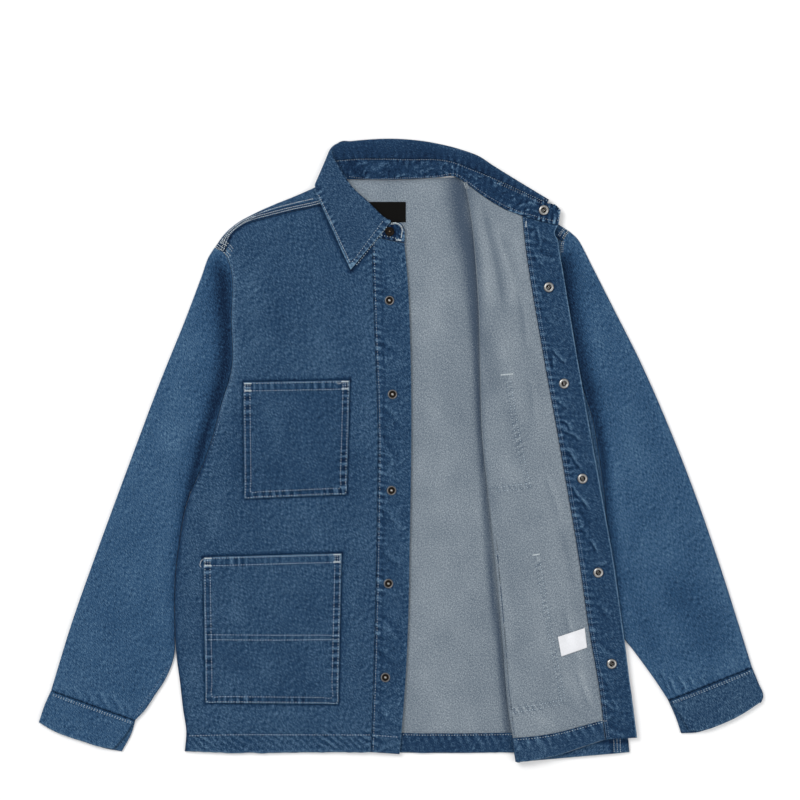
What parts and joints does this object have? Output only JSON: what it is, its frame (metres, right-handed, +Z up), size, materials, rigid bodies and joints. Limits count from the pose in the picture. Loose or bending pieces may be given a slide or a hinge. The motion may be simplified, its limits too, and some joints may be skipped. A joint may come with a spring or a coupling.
{
  "type": "barn jacket",
  "caption": "Denim work jacket laid flat on its back, press-stud front, patch pockets and turn-down collar, the wearer's left front turned open.",
  "frame": {"origin": "on the flat underside of the back, midway between the sides and about halfway up the body", "axes": "+X to the wearer's left, +Y up the body to the collar, +Z up from the surface that the jacket lies on"},
  "size_m": [0.9427, 0.8108, 0.0125],
  "materials": {
    "denim_outside": "indigo twill, washed",
    "denim_inside": "pale reverse of the twill",
    "neck_label": "plain black woven label",
    "side_label": "plain white woven label",
    "stud_metal": "dark antique",
    "socket_metal": "satin with a dark recess"
  },
  "bodies": {
    "root": {"back": "denim_inside", "back_hem": "denim_outside", "collar_leaf": "denim_outside", "collar_stand": "denim_outside", "left_chest_pocket": "denim_outside", "left_cuff": "denim_outside", "left_front": "denim_inside", "left_front_hem": "denim_outside", "left_lower_pocket": "denim_outside", "left_placket": "denim_outside", "left_sleeve": "denim_outside", "neck_label": "neck_label", "right_chest_pocket": "denim_outside", "right_cuff": "denim_outside", "right_front": "denim_outside", "right_lower_pocket": "denim_outside", "right_placket": "denim_outside", "right_sleeve": "denim_outside", "side_label": "side_label", "snap_cap_1": "socket_metal", "snap_cap_2": "socket_metal", "snap_cap_3": "socket_metal", "snap_cap_4": "socket_metal", "snap_cap_5": "socket_metal", "snap_cap_6": "socket_metal", "snap_post_1": "stud_metal", "snap_post_2": "stud_metal", "snap_post_3": "stud_metal", "snap_post_4": "stud_metal", "snap_post_5": "stud_metal", "snap_post_6": "stud_metal", "snap_socket_1": "socket_metal", "snap_socket_2": "socket_metal", "snap_socket_3": "socket_metal", "snap_socket_4": "socket_metal", "snap_socket_5": "socket_metal", "snap_socket_6": "socket_metal", "snap_stud_1": "stud_metal", "snap_stud_2": "stud_metal", "snap_stud_3": "stud_metal", "snap_stud_4": "stud_metal", "snap_stud_5": "stud_metal", "snap_stud_6": "stud_metal"}
  },
  "joints": []
}
